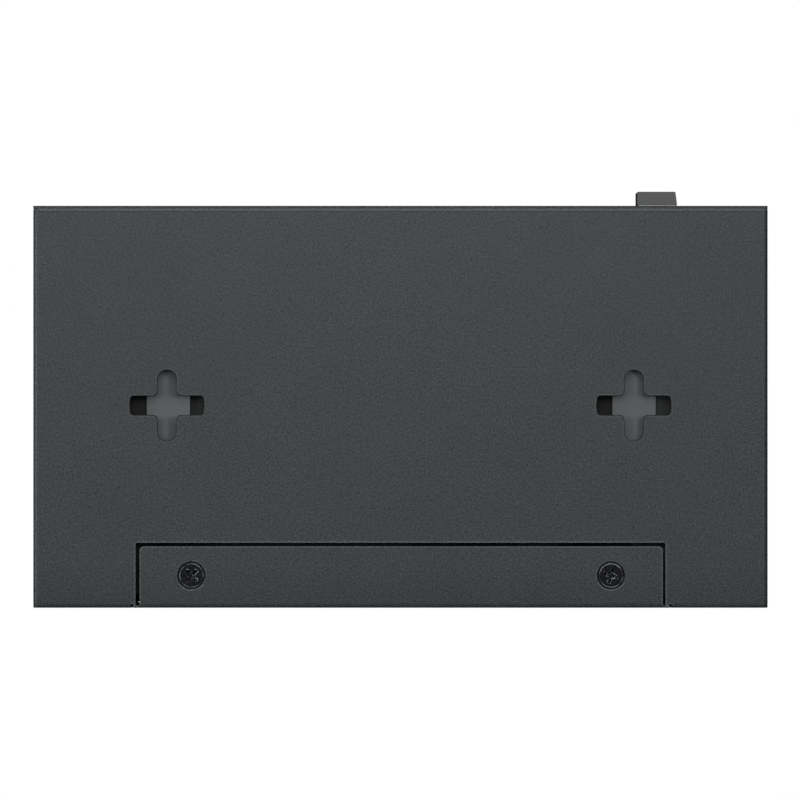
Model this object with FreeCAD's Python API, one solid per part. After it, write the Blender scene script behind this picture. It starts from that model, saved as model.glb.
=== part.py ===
import FreeCAD, Part
import math
import os

# Desktop power-over-Ethernet switch in a folded sheet-steel case, seen by its underside.
# Millimetres. The origin is the centre of the case's flat underside.
# +X is the right-hand side for someone facing the ports, -Y is the port side, +Z is up.

# Case, folded from painted sheet
case_width = 190.0
case_depth = 104.0
case_height = 27.0
sheet = 0.7
inner_bend = 0.3
rear_corner_slit = 0.3
front_corner_slit = 0.12
corner_relief_height = 1.4
corner_seam = 0.15
corner_seam_depth = 0.05
front_corner_radius = 0.4
lid_play = 0.15
lid_front_play = 0.04
lid_flange = 6.0

# Port panel, and the strip at its foot that turns under the front edge into a notch in the tray
panel_margin = 12.5
tongue_seam = 0.2
tongue_relief = 0.2
stub_relief_width = 0.85
stub_relief_height = 2.2
tab_lap = 0.15
stub_lap = 0.3
strip_gap = 0.85
strip_rear_gap = 0.95
strip_offset = -0.2
strip_depth = 15.9
strip_corner = 1.1
notch_corner = 0.4

# Countersunk screws that hold the strip, in cups pressed into it
cover_screw_inset = 13.4
cover_screw_setback = 8.38
cover_screw_length = 5.2
thread_radius = 1.5
thread_play = 0.05
flat_head_radius = 3.15
flat_head_rim = 0.15
flat_head_play = 0.05
flat_head_sink = 0.3
cup_lip_radius = 0.15
cup_ring = 0.45
cup_hole_play = 0.2
cup_land = 0.3
recess_reach = 1.95
recess_width = 0.95
recess_core = 0.85
recess_depth = 1.2
recess_taper = 0.4
left_recess_angle = 17.0
right_recess_angle = 45.0

# Cross-shaped wall-mounting holes and the bridges over them
keyhole_spacing = 120.7
keyhole_offset = 0.35
side_arm_length = 19.3
side_arm_width = 4.95
side_arm_corner = 0.75
side_arm_bulge = 0.3
side_arm_tip_radius = 7.5
long_arm_length = 18.35
long_arm_width = 4.9
arm_root_radius = 1.2
bridge_width = 11.2
bridge_offset = -0.2
bridge_rise = 3.0
bridge_flat = 20.6
bridge_ramp = 2.4
bridge_foot = 5.0
bridge_sheet = 0.7
bridge_bend = 0.8

# Ventilation slots in both side walls
vent_count = 10
vent_pitch = 6.4
vent_width = 2.4
vent_base = 7.0
vent_lid_gap = 4.0
vent_centre = 4.0

# Circuit board and what holds it
board_thickness = 1.6
board_bridge_gap = 0.6
board_side_gap = 12.3
board_front_setback = 3.4
board_rear_setback = 2.4
board_corner = 2.0
board_hole_play = 0.2
standoff_wall = 1.25
standoff_side_inset = 5.0
standoff_front_inset = 17.6
standoff_rear_inset = 11.6
board_screw_length = 5.0
board_screw_head_radius = 2.8
board_screw_head = 1.9
board_screw_slot = 3.2
board_screw_slot_width = 0.7
board_screw_slot_depth = 0.9
cover_standoff_wall = 1.0
broach_wall = 0.6
broach_play = 0.05
broach_short = 0.1

# Network sockets, side by side in two moulded blocks
poe_ports = 4
uplink_ports = 2
led_block_gap = 5.0
port_block_gap = 6.0
socket_width = 11.9
socket_height = 7.0
socket_depth = 13.0
socket_wall = 2.1
socket_roof = 1.5
socket_sole = 1.9
socket_back_wall = 4.0
latch_width = 6.3
latch_height = 1.4
key_width = 3.6
key_height = 1.3
jack_recess = 0.3
shield_sheet = 0.25
shield_window_play = 0.2
panel_play = 0.3
contact_count = 8
contact_pitch = 1.02
contact_width = 0.42
contact_thickness = 0.3
contact_setback = 2.2
contact_back_gap = 3.0
contact_drop = 2.3

# Status lights
led_columns = 4
led_rows = 2
led_width = 2.6
led_height = 1.7
led_lip = 0.3
led_rim = 0.8
led_gap_x = 1.7
led_gap_z = 3.1
led_first_z = 4.2
led_play = 0.1
led_tip_recess = 0.1
led_holder_gap = 1.2
led_holder_depth = 5.5
led_holder_wall = 2.2

# Power inlet on the rear wall
inlet_from_side = 28.33
inlet_width = 10.38
inlet_height = 11.0
inlet_proud = 3.85
inlet_taper = 0.45
inlet_corner = 0.3
inlet_groove = 0.42
inlet_groove_depth = 0.4
inlet_play = 0.25
inlet_axis_height = 5.9
inlet_bore_radius = 3.2
inlet_bore_depth = 10.0
inlet_back_wall = 4.0
inlet_pin_radius = 1.0
inlet_pin_play = 0.05
inlet_pin_setback = 0.8
inlet_pin_head_radius = 1.9
inlet_pin_head = 0.5
inlet_spring_width = 2.4
inlet_spring_thickness = 0.3
inlet_spring_length = 7.5
inlet_spring_play = 0.15

# Supply parts in a row in front of the inlet, each given by its distance from the inlet's centre
supply_setback = 13.5
choke_step = 17.0
choke_size = 12.5
choke_height = 7.0
coil_corner = 2.5
first_capacitor_step = 31.0
capacitor_step = 32.0
capacitor_count = 2
capacitor_radius = 5.0
capacitor_height = 13.0
capacitor_neck = 2.2
capacitor_groove = 0.7
capacitor_groove_depth = 0.35
inductor_step = 47.0
inductor_size = 12.5
inductor_height = 7.0
inductor_core_radius = 4.6
inductor_core_sink = 0.6
fuse_gap = 10.0
fuse_width = 6.1
fuse_depth = 2.7
fuse_height = 2.6

# Parts round the middle of the board, placed from its centre
transformer_width = 12.0
transformer_depth = 9.5
transformer_height = 5.8
transformer_gap = 3.0
lead_count = 6
lead_pitch = 1.6
lead_width = 0.6
lead_reach = 1.2
lead_height = 0.5
chip_x = 14.0
chip_y = 5.5
chip_size = 16.0
chip_height = 1.6
chip_corner = 0.5
pad_margin = 0.5
pad_thickness = 0.5
heatsink_overhang = 6.0
heatsink_base = 2.5
heatsink_height = 11.0
heatsink_fins = 8
heatsink_fin = 1.2
poe_chip_x = -20.0
poe_chip_y = 5.5
poe_chip_size = 9.0
poe_chip_height = 1.0
flash_x = 36.0
flash_y = 8.5
flash_width = 5.3
flash_depth = 5.2
flash_height = 1.8
crystal_x = 36.0
crystal_y = -3.5
crystal_length = 11.0
crystal_width = 4.6
crystal_height = 3.6
transistor_x = -38.0
transistor_y = -3.0
transistor_gap = 2.9
transistor_count = 3
transistor_width = 6.6
transistor_depth = 6.1
transistor_height = 2.3

# How far a cutting shape runs past what it cuts
past = 1.0

# Case and strip
half_width = case_width / 2
half_depth = case_depth / 2
bend = sheet + inner_bend
wall_top = case_height - bend
lid_inset = sheet + lid_play
lid_front = sheet + lid_front_play - half_depth
plate_edge = lid_front + bend
lid_rim = case_height - lid_flange
front_bend_line = bend - half_depth
vent_top = lid_rim - vent_lid_gap

# Board and bridges
board_base = sheet + bridge_rise + bridge_sheet + board_bridge_gap
board_top = board_base + board_thickness
board_half = half_width - sheet - board_side_gap
board_front = board_front_setback - half_depth
board_rear = half_depth - board_rear_setback
board_centre = (board_front + board_rear) / 2
standoff_x = board_half - standoff_side_inset
standoff_ys = (board_front + standoff_front_inset, board_rear - standoff_rear_inset)
keyhole_x = keyhole_spacing / 2

# Row of lights and sockets, centred on the case
port_pitch = socket_width + socket_wall
led_pitch_x = led_width + led_gap_x
led_pitch_z = led_height + led_gap_z
led_block_width = led_pitch_x * (led_columns - 1) + 2 * led_holder_wall
poe_block_width = poe_ports * port_pitch
uplink_block_width = uplink_ports * port_pitch
port_row = led_block_width + led_block_gap + poe_block_width + port_block_gap + uplink_block_width
led_block_x = (led_block_width - port_row) / 2
uplink_block_x = (port_row - uplink_block_width) / 2
poe_block_x = led_block_x + led_block_width / 2 + led_block_gap + poe_block_width / 2

# Port panel and strip, from the row that they carry
tongue_half = port_row / 2 + panel_margin
stub_start = tongue_half + tongue_seam
stub_foot = stub_start + stub_lap
notch_half = tongue_half - tab_lap
strip_half = notch_half - strip_gap
strip_rear = strip_depth - half_depth
notch_rear = strip_rear + strip_rear_gap

# Cover screws and their cups
cover_screw_reach = strip_half - cover_screw_inset
cover_screw_xs = (strip_offset - cover_screw_reach, strip_offset + cover_screw_reach)
cover_screw_y = cover_screw_setback - half_depth
shank_radius = thread_radius - thread_play
cup_mouth_radius = flat_head_radius + cup_ring
cup_ledge_radius = flat_head_radius + flat_head_play
cup_ledge = flat_head_sink + flat_head_rim
cup_hole_radius = thread_radius + cup_hole_play
cup_cone = cup_ledge_radius - cup_hole_radius
cup_height = cup_ledge + cup_cone + cup_land
cup_skirt = cup_ledge_radius + cup_ledge + (math.sqrt(2) - 1) * sheet
broach_radius = thread_radius + broach_wall

# Sockets
jack_height = socket_sole + key_height + latch_height + socket_height + socket_roof
jack_depth = socket_depth + socket_back_wall
jack_top = board_top + jack_height
jack_front = jack_recess - half_depth
housing_front = jack_front + shield_sheet
housing_rear = housing_front + jack_depth
socket_ceiling = jack_top - socket_roof
socket_back = housing_front + socket_depth

# Inlet
inlet_x = inlet_from_side - half_width
inlet_tip = half_depth + inlet_proud
inlet_back = inlet_tip - inlet_bore_depth - inlet_back_wall
inlet_axis_z = board_top + inlet_axis_height
inlet_top = board_top + inlet_height
bore_end = inlet_tip - inlet_bore_depth
spring_floor = inlet_axis_z - inlet_bore_radius - inlet_spring_thickness
supply_y = board_rear - supply_setback


def box(x0, x1, y0, y1, z0, z1):
    """A block between two corners."""
    corner = FreeCAD.Vector(x0, y0, z0)
    return Part.makeBox(x1 - x0, y1 - y0, z1 - z0, corner)


def post(radius, x, y, z0, z1):
    """An upright round post or hole."""
    return Part.makeCylinder(radius, z1 - z0, FreeCAD.Vector(x, y, z0))


def bar(radius, x, z, y0, y1):
    """A round bar or hole that runs from front to back."""
    start = FreeCAD.Vector(x, y0, z)
    return Part.makeCylinder(radius, y1 - y0, start, FreeCAD.Vector(0, 1, 0))


def both_sides(inner, outer):
    """The X range from inner to outer right of the middle, and the same range left of it."""
    return [(inner, outer), (-outer, -inner)]


def on_plane(plane, u, v, level):
    """The point (u, v) of a drawing plane that stands at a level on its third axis."""
    if plane == "xy":
        return FreeCAD.Vector(u, v, level)
    if plane == "xz":
        return FreeCAD.Vector(u, level, v)
    return FreeCAD.Vector(level, u, v)


def outline(plane, corners, level):
    """The face inside a closed outline whose corners are (u, v), or (u, v, radius) if rounded."""
    places = [on_plane(plane, corner[0], corner[1], level) for corner in corners]
    starts = []
    tops = []
    ends = []
    for index, place in enumerate(places):
        radius = corners[index][2] if len(corners[index]) > 2 else 0.0
        back = places[index - 1].sub(place).normalize()
        ahead = places[(index + 1) % len(places)].sub(place).normalize()
        half_angle = back.getAngle(ahead) / 2
        reach = radius / math.tan(half_angle)
        inward = back.add(ahead).normalize()
        inward.multiply(radius / math.sin(half_angle) - radius)
        starts.append(place.add(back.multiply(reach)))
        tops.append(place.add(inward))
        ends.append(place.add(ahead.multiply(reach)))
    edges = []
    for index in range(len(places)):
        if starts[index].distanceToPoint(ends[index]) > Part.Precision.confusion():
            edges.append(Part.Arc(starts[index], tops[index], ends[index]).toShape())
        following = starts[(index + 1) % len(places)]
        if ends[index].distanceToPoint(following) > Part.Precision.confusion():
            edges.append(Part.LineSegment(ends[index], following).toShape())
    return Part.Face(Part.Wire(edges))


def prism(plane, corners, low, high):
    """An outline extruded from low to high on the axis that stands on its plane."""
    return outline(plane, corners, low).extrude(on_plane(plane, 0, 0, high - low))


def turned(corners, x, y):
    """A (radius, height) outline turned about an upright axis through (x, y)."""
    face = outline("xz", corners, 0)
    solid = face.revolve(FreeCAD.Vector(0, 0, 0), FreeCAD.Vector(0, 0, 1), 360)
    solid.translate(FreeCAD.Vector(x, y, 0))
    return solid


def hexagon(apothem, x, y, z0, z1):
    """An upright six-sided post, given by the distance from its axis to a flat."""
    reach = apothem / math.cos(math.pi / 6)
    corners = []
    for step in range(6):
        angle = math.pi / 3 * step
        corners.append((x + reach * math.cos(angle), y + reach * math.sin(angle)))
    return prism("xy", corners, z0, z1)


def one_solid(shape):
    """The shape with its coplanar faces merged, which has to be a single solid."""
    merged = shape.removeSplitter()
    if len(merged.Solids) != 1:
        raise ValueError("a piece came out as %d solids" % len(merged.Solids))
    return merged.Solids[0]


def group(solids):
    """Several like pieces that share a node."""
    return Part.makeCompound(solids)


def edges_at(shape, level):
    """The edges that lie flat at one height."""
    found = []
    for edge in shape.Edges:
        heights = [vertex.Z for vertex in edge.Vertexes]
        if max(heights) - min(heights) < bend and abs(heights[0] - level) < inner_bend:
            found.append(edge)
    return found


def folded_pan(half_x, y0, y1, floor, rim):
    """A pan folded from sheet: a flat floor, four walls up or down to the rim, rounded bends."""
    inner_floor = floor + math.copysign(sheet, rim - floor)
    outside = box(-half_x, half_x, y0, y1, min(floor, rim), max(floor, rim))
    inner_half = half_x - sheet
    low = min(inner_floor, rim)
    high = max(inner_floor, rim)
    inside = box(-inner_half, inner_half, y0 + sheet, y1 - sheet, low, high)
    outside = outside.makeFillet(bend, edges_at(outside, floor))
    inside = inside.makeFillet(inner_bend, edges_at(inside, inner_floor))
    return outside.cut(inside)


# Tray: floor, side walls, rear wall and the two front stubs


def case_block():
    """The room that the case fills, with its two front corners eased."""
    corners = [
        (-half_width, -half_depth, front_corner_radius),
        (half_width, -half_depth, front_corner_radius),
        (half_width, half_depth),
        (-half_width, half_depth),
    ]
    return prism("xy", corners, 0, case_height)


def corner_slits():
    """The relief at the foot of each corner, and the fine seam above it where the walls meet."""
    cuts = []
    rear = half_depth - sheet
    front = sheet - half_depth
    top = corner_relief_height
    for x0, x1 in both_sides(half_width - bend, half_width + past):
        cuts.append(box(x0, x1, rear - rear_corner_slit, rear, -past, top))
        cuts.append(box(x0, x1, front, front + front_corner_slit, -past, top))
    for x0, x1 in both_sides(half_width - corner_seam_depth, half_width + past):
        cuts.append(box(x0, x1, rear - corner_seam, rear, top, case_height))
        cuts.append(box(x0, x1, front, front + corner_seam, top, case_height))
    return cuts


def front_notch():
    """The open middle of the tray's front wall, its feet's reliefs and the notch in the floor."""
    ahead = -half_depth - past
    reach = stub_foot + stub_relief_width
    left = strip_offset - reach
    right = strip_offset + reach
    gap = box(-stub_start, stub_start, ahead, front_bend_line, -past, case_height)
    feet = box(left, right, ahead, front_bend_line, -past, stub_relief_height)
    corners = [
        (-notch_half, ahead),
        (notch_half, ahead),
        (notch_half, notch_rear, notch_corner),
        (-notch_half, notch_rear, notch_corner),
    ]
    return [gap, feet, prism("xy", corners, -past, sheet + inner_bend)]


def notch_tabs():
    """The slim ends of the floor that stay flat beside the strip, under the panel's seams."""
    tabs = []
    for x0, x1 in ((strip_offset - stub_foot, -notch_half), (notch_half, strip_offset + stub_foot)):
        tabs.append(box(x0, x1, -half_depth, front_bend_line, 0, sheet))
    return tabs


def wall_keyhole(x):
    """One cross-shaped hole: a blunt-ended arm across and a round-ended arm along the depth."""
    half_side = side_arm_length / 2
    low = side_arm_width / 2
    wide = long_arm_width / 2
    quarter = [
        (wide, long_arm_length / 2, wide),
        (wide, low, arm_root_radius),
        (half_side - side_arm_bulge, low, side_arm_corner),
    ]
    tip = (half_side, 0.0, side_arm_tip_radius)
    right = quarter + [tip] + [(u, -v, radius) for u, v, radius in reversed(quarter)]
    whole = right + [(-u, -v, radius) for u, v, radius in right]
    corners = [(x + u, keyhole_offset + v, radius) for u, v, radius in whole]
    return prism("xy", corners, -past, sheet + past)


def vent_slots():
    """A row of upright slots through each side wall."""
    slots = []
    first = vent_centre - (vent_pitch * (vent_count - 1) + vent_width) / 2
    for index in range(vent_count):
        y = first + vent_pitch * index
        for x0, x1 in both_sides(half_width - sheet - past, half_width + past):
            slots.append(box(x0, x1, y, y + vent_width, vent_base, vent_top))
    return slots


def inlet_window():
    """The opening in the rear wall round the power inlet."""
    reach = inlet_width / 2 + inlet_play
    y0 = half_depth - sheet - past
    y1 = half_depth + past
    z0 = board_top - inlet_play
    return box(inlet_x - reach, inlet_x + reach, y0, y1, z0, inlet_top + inlet_play)


def make_base_tray():
    tray = folded_pan(half_width, -half_depth, half_depth, 0, wall_top).common(case_block())
    cuts = corner_slits() + front_notch() + vent_slots()
    cuts += [wall_keyhole(-keyhole_x), wall_keyhole(keyhole_x), inlet_window()]
    return one_solid(tray.cut(cuts).fuse(notch_tabs()))


# Cover: top plate, its inner flanges, the port panel and the strip under the front edge


def port_panel():
    """The sheet that folds down from the top plate and turns under at its foot."""
    face = -half_depth
    corners = [
        (plate_edge, case_height),
        (face, case_height, bend),
        (face, 0, bend),
        (front_bend_line, 0),
        (front_bend_line, sheet),
        (face + sheet, sheet, inner_bend),
        (face + sheet, case_height - sheet, inner_bend),
        (plate_edge, case_height - sheet),
    ]
    return prism("yz", corners, -tongue_half, tongue_half)


def foot_reliefs():
    """What is cut from the foot of the port panel on both sides of the strip."""
    front = -half_depth - past
    left = strip_offset - strip_half
    right = strip_offset + strip_half
    cuts = []
    for x0, x1 in ((-tongue_half - past, left), (right, tongue_half + past)):
        cuts.append(box(x0, x1, front, front_bend_line, -past, bend))
    return cuts


def front_strip():
    """The strip that lies flush in the tray's notch."""
    left = strip_offset - strip_half
    right = strip_offset + strip_half
    corners = [
        (left, front_bend_line),
        (right, front_bend_line),
        (right, strip_rear, strip_corner),
        (left, strip_rear, strip_corner),
    ]
    return prism("xy", corners, 0, sheet)


def screw_cup(x):
    """The pressed cup under a flat-headed screw, with a softly rounded lip."""
    edge = cup_skirt + sheet
    land = cup_skirt + sheet - cup_height
    corners = [
        (edge, 0),
        (cup_mouth_radius, 0, cup_lip_radius),
        (cup_mouth_radius, cup_ledge),
        (cup_ledge_radius, cup_ledge),
        (cup_hole_radius, cup_ledge + cup_cone),
        (cup_hole_radius, cup_height),
        (land, cup_height),
        (cup_skirt, sheet),
        (edge, sheet),
    ]
    return turned(corners, x, cover_screw_y)


def jack_window(ports, centre):
    """The opening in the port panel round one block of sockets."""
    reach = ports * port_pitch / 2 + shield_sheet + panel_play
    y0 = -half_depth - past
    y1 = sheet + past - half_depth
    z1 = jack_top + shield_sheet + panel_play
    return box(centre - reach, centre + reach, y0, y1, board_top - panel_play, z1)


def light_bar(x, z, grown, y0, y1):
    """One light's section, grown on all sides, as a block that runs from front to back."""
    half = led_width / 2 + grown
    rise = led_height / 2 + grown
    return box(x - half, x + half, y0, y1, z - rise, z + rise)


def led_places():
    """The centre of each status light, as (x, z)."""
    places = []
    first = led_block_x - led_pitch_x * (led_columns - 1) / 2
    for row in range(led_rows):
        z = board_top + led_first_z + led_pitch_z * row
        for column in range(led_columns):
            places.append((first + led_pitch_x * column, z))
    return places


def make_top_cover():
    lid_half = half_width - lid_inset
    lid = folded_pan(lid_half, lid_front, half_depth - lid_inset, case_height, lid_rim)
    slit = tongue_half + tongue_relief
    front = -half_depth - past
    flange_gap = box(-slit, slit, front, plate_edge, lid_rim - past, wall_top)
    plate_gap = box(-tongue_half, tongue_half, front, plate_edge, wall_top, case_height + past)
    lid = lid.cut([flange_gap, plate_gap])
    cover = lid.fuse([port_panel().cut(foot_reliefs()), front_strip()])
    cuts = [jack_window(poe_ports, poe_block_x), jack_window(uplink_ports, uplink_block_x)]
    for x, z in led_places():
        cuts.append(light_bar(x, z, led_play, front, sheet + past - half_depth))
    cups = []
    for x in cover_screw_xs:
        cuts.append(post(cup_skirt + sheet, x, cover_screw_y, -past, sheet + past))
        cups.append(screw_cup(x))
    return one_solid(cover.cut(cuts).fuse(cups))


# Bridges over the wall keyholes


def make_keyhole_bridge(x):
    """A strap that arches over a keyhole and keeps the wall screw's head off the board."""
    low = sheet
    high = sheet + bridge_rise
    crest = bridge_flat / 2
    toe = crest + bridge_ramp
    end = toe + bridge_foot
    lean = math.atan2(bridge_rise, bridge_ramp)
    shift = bridge_sheet * math.tan(lean / 2)
    outer_bend = bridge_bend + bridge_sheet
    half = [
        (crest, high, bridge_bend),
        (toe, low, outer_bend),
        (end, low),
        (end, low + bridge_sheet),
        (toe + shift, low + bridge_sheet, bridge_bend),
        (crest + shift, high + bridge_sheet, outer_bend),
    ]
    whole = half + [(-corner[0],) + corner[1:] for corner in reversed(half)]
    corners = [(keyhole_offset + corner[0],) + corner[1:] for corner in whole]
    middle = x + bridge_offset
    return prism("yz", corners, middle - bridge_width / 2, middle + bridge_width / 2)


# Screws and standoffs


def cross_recess(x, angle):
    """The tapered cross in a screw's flat head, turned by an angle in degrees."""
    origin = FreeCAD.Vector(0, 0, 0)
    upward = FreeCAD.Vector(0, 0, 1)
    face = flat_head_sink
    bottom = face + recess_depth
    core = Part.makeCone(
        recess_core, recess_core * recess_taper, recess_depth, FreeCAD.Vector(0, 0, face)
    )
    arms = []
    for turn in (0, 90):
        ends = []
        for scale, z in ((1.0, face), (recess_taper, bottom)):
            length = recess_reach * scale
            width = recess_width * scale / 2
            corners = [(-length, -width), (length, -width), (length, width), (-length, width)]
            ends.append(outline("xy", corners, z).OuterWire)
        arm = Part.makeLoft(ends, True, True)
        arm.rotate(origin, upward, turn)
        arms.append(arm)
    recess = core.fuse(arms)
    recess.rotate(origin, upward, angle)
    recess.translate(FreeCAD.Vector(x, cover_screw_y, 0))
    return recess


def make_cover_screws():
    """Two flat-headed screws, heads down in their cups."""
    face = flat_head_sink
    rim = face + flat_head_rim
    tip = face + cover_screw_length
    corners = [
        (0, face),
        (flat_head_radius, face),
        (flat_head_radius, rim),
        (shank_radius, rim + flat_head_radius - shank_radius),
        (shank_radius, tip - board_hole_play),
        (shank_radius - board_hole_play, tip),
        (0, tip),
    ]
    screws = []
    for x, angle in zip(cover_screw_xs, (left_recess_angle, right_recess_angle)):
        screws.append(one_solid(turned(corners, x, cover_screw_y).cut(cross_recess(x, angle))))
    return group(screws)


def make_cover_standoffs():
    """Two tapped posts pressed into the board, which the cover screws pull against."""
    posts = []
    for x in cover_screw_xs:
        flat = thread_radius + cover_standoff_wall
        body = hexagon(flat, x, cover_screw_y, cup_height, board_base)
        shank = post(broach_radius, x, cover_screw_y, board_base, board_top - broach_short)
        hole = post(thread_radius, x, cover_screw_y, 0, case_height)
        posts.append(one_solid(body.fuse(shank).cut(hole)))
    return group(posts)


def board_fixings():
    """The centre of each board screw."""
    return [(x, y) for y in standoff_ys for x in (-standoff_x, standoff_x)]


def make_board_standoffs():
    """Four tapped posts that stand on the tray's floor."""
    posts = []
    for x, y in board_fixings():
        body = hexagon(thread_radius + standoff_wall, x, y, sheet, board_base)
        posts.append(one_solid(body.cut(post(thread_radius, x, y, 0, case_height))))
    return group(posts)


def make_board_screws():
    """Four cheese-headed screws that hold the board down."""
    top = board_top + board_screw_head
    corners = [
        (0, board_top - board_screw_length),
        (shank_radius, board_top - board_screw_length),
        (shank_radius, board_top),
        (board_screw_head_radius, board_top),
        (board_screw_head_radius, top),
        (0, top),
    ]
    length = board_screw_slot / 2
    width = board_screw_slot_width / 2
    floor = top - board_screw_slot_depth
    screws = []
    for x, y in board_fixings():
        across = box(x - length, x + length, y - width, y + width, floor, top + past)
        along = box(x - width, x + width, y - length, y + length, floor, top + past)
        screws.append(one_solid(turned(corners, x, y).cut([across, along])))
    return group(screws)


def make_main_board():
    corners = [
        (-board_half, board_front, board_corner),
        (board_half, board_front, board_corner),
        (board_half, board_rear, board_corner),
        (-board_half, board_rear, board_corner),
    ]
    holes = []
    for x, y in board_fixings():
        holes.append(post(thread_radius + board_hole_play, x, y, 0, case_height))
    for x in cover_screw_xs:
        holes.append(post(broach_radius + broach_play, x, cover_screw_y, 0, case_height))
    return one_solid(prism("xy", corners, board_base, board_top).cut(holes))


# Network sockets


def socket_centres(ports, centre):
    """The middle of each socket in a block."""
    first = centre - port_pitch * (ports - 1) / 2
    return [first + port_pitch * index for index in range(ports)]


def socket_outline(x, play):
    """The stepped mouth of one socket, latch side down, grown by some play."""
    ceiling = socket_ceiling + play
    shelf = socket_ceiling - socket_height - play
    step = shelf - latch_height
    half = [
        (socket_width / 2 + play, ceiling),
        (socket_width / 2 + play, shelf),
        (latch_width / 2 + play, shelf),
        (latch_width / 2 + play, step),
        (key_width / 2 + play, step),
        (key_width / 2 + play, step - key_height),
    ]
    whole = half + [(-u, v) for u, v in reversed(half)]
    return [(x + u, v) for u, v in whole]


def make_jack_housing(ports, centre):
    """A moulded block with one stepped cavity for each plug."""
    half = ports * port_pitch / 2
    block = box(centre - half, centre + half, housing_front, housing_rear, board_top, jack_top)
    cavities = []
    for x in socket_centres(ports, centre):
        cavities.append(prism("xz", socket_outline(x, 0), housing_front - past, socket_back))
    return one_solid(block.cut(cavities))


def make_jack_shield(ports, centre):
    """A folded tin shell over the block, open underneath, with a window at each socket."""
    half = ports * port_pitch / 2
    wide = half + shield_sheet
    rear = housing_rear + shield_sheet
    top = jack_top + shield_sheet
    outside = box(centre - wide, centre + wide, jack_front, rear, board_top, top)
    inside = box(centre - half, centre + half, housing_front, housing_rear, board_top, jack_top)
    windows = []
    for x in socket_centres(ports, centre):
        shape = socket_outline(x, shield_window_play)
        windows.append(prism("xz", shape, jack_front - past, housing_front))
    return one_solid(outside.cut([inside] + windows))


def make_jack_contacts(ports, centre):
    """Eight sprung wires in each socket, folded back from the mouth under its ceiling."""
    fold = housing_front + contact_setback
    tip = socket_back - contact_back_gap
    slope = contact_drop / (tip - fold)
    crotch = fold + 2 * contact_thickness / slope
    low = socket_ceiling - contact_drop
    under = socket_ceiling - contact_thickness
    corners = [
        (socket_back, socket_ceiling),
        (fold, socket_ceiling),
        (tip, low),
        (tip, low + contact_thickness),
        (crotch, under),
        (socket_back, under),
    ]
    half = contact_width / 2
    wires = []
    for middle in socket_centres(ports, centre):
        first = middle - contact_pitch * (contact_count - 1) / 2
        for index in range(contact_count):
            x = first + contact_pitch * index
            wires.append(prism("yz", corners, x - half, x + half))
    return group(wires)


# Status lights


def make_led_holder():
    """A moulded block on the board with a channel for each light."""
    half = led_block_width / 2
    last_z = board_top + led_first_z + led_pitch_z * (led_rows - 1)
    top = last_z + led_height / 2 + led_lip + led_holder_wall
    front = sheet + led_holder_gap - half_depth
    rear = front + led_holder_depth
    block = box(led_block_x - half, led_block_x + half, front, rear, board_top, top)
    channels = []
    for x, z in led_places():
        channels.append(light_bar(x, z, led_play, front - past, rear + past))
    return one_solid(block.cut(channels))


def make_status_leds():
    """Square-edged light guides whose rims rest on the back of the holder."""
    tip = led_tip_recess - half_depth
    seat = sheet + led_holder_gap + led_holder_depth - half_depth
    lights = []
    for x, z in led_places():
        body = light_bar(x, z, 0, tip, seat)
        rim = light_bar(x, z, led_lip, seat, seat + led_rim)
        lights.append(one_solid(body.fuse(rim)))
    return group(lights)


# Power inlet


def inlet_waist():
    """The shallow groove round the inlet's nose, just outside the rear wall."""
    near = inlet_x + inlet_width / 2
    far = inlet_x - inlet_width / 2
    y0 = half_depth
    y1 = half_depth + inlet_groove
    around = box(far - past, near + past, y0, y1, board_top - past, inlet_top + past)
    deep = inlet_groove_depth
    core = box(far + deep, near - deep, y0, y1, board_top + deep, inlet_top - deep)
    return around.cut(core)


def spring_slot():
    """The groove under the bore that the inlet's spring lies in."""
    half = inlet_spring_width / 2 + inlet_spring_play
    end = bore_end + inlet_spring_length + inlet_spring_play
    return box(inlet_x - half, inlet_x + half, bore_end, end, spring_floor, inlet_axis_z)


def make_inlet_housing():
    """A moulded socket on the board whose nose stands out of the rear wall and tapers."""
    near = inlet_x + inlet_width / 2
    far = inlet_x - inlet_width / 2
    corners = [
        (far, inlet_back),
        (near, inlet_back),
        (near, inlet_tip, inlet_corner),
        (far + inlet_taper, inlet_tip, inlet_corner),
        (far, half_depth + inlet_groove),
    ]
    body = prism("xy", corners, board_top, inlet_top)
    bore = bar(inlet_bore_radius, inlet_x, inlet_axis_z, bore_end, inlet_tip + past)
    hole_radius = inlet_pin_radius + inlet_pin_play
    pin_hole = bar(hole_radius, inlet_x, inlet_axis_z, inlet_back - past, bore_end + past)
    return one_solid(body.cut([inlet_waist(), bore, pin_hole, spring_slot()]))


def make_inlet_pin():
    """The centre pin, pushed through the back of the inlet up to its head."""
    head_back = inlet_back - inlet_pin_head
    pin = bar(inlet_pin_radius, inlet_x, inlet_axis_z, inlet_back, inlet_tip - inlet_pin_setback)
    head = bar(inlet_pin_head_radius, inlet_x, inlet_axis_z, head_back, inlet_back)
    return one_solid(pin.fuse(head))


def make_inlet_spring():
    """The leaf that presses on the plug's sleeve."""
    half = inlet_spring_width / 2
    end = bore_end + inlet_spring_length
    top = spring_floor + inlet_spring_thickness
    return box(inlet_x - half, inlet_x + half, bore_end, end, spring_floor, top)


# Parts on the board


def on_board(x, y, width, depth, height, corner=0.0):
    """A block that stands on the board, with its upright edges rounded."""
    corners = [
        (x - width / 2, y - depth / 2, corner),
        (x + width / 2, y - depth / 2, corner),
        (x + width / 2, y + depth / 2, corner),
        (x - width / 2, y + depth / 2, corner),
    ]
    return prism("xy", corners, board_top, board_top + height)


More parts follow.
